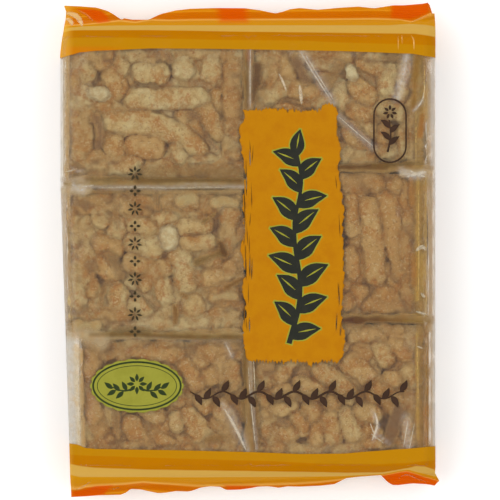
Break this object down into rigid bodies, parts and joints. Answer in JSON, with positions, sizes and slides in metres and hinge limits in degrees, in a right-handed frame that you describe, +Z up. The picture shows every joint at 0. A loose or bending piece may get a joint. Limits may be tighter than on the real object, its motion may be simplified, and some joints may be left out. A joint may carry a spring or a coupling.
{
  "type": "pack of sachima blocks",
  "caption": "Clear gusseted film bag of wrapped puffed-dough sachima blocks, lying on its back, with a crimped sealing fin at each end.",
  "frame": {"origin": "centre of the underside of the pack's box, on the surface it lies on", "axes": "+X across the pack to the right seen from the front, +Y along the pack towards its upper fin, +Z up out of its shown side"},
  "size_m": [0.16, 0.2094, 0.036],
  "materials": {
    "film": "clear glossy packing film over tan sachima, with translucent orange print at both ends",
    "dough": "fried puffed dough strands, tan with orange-brown toasted spots",
    "print": "printing ink on the film"
  },
  "bodies": {
    "root": {"sachima_pack": "film"}
  },
  "joints": []
}
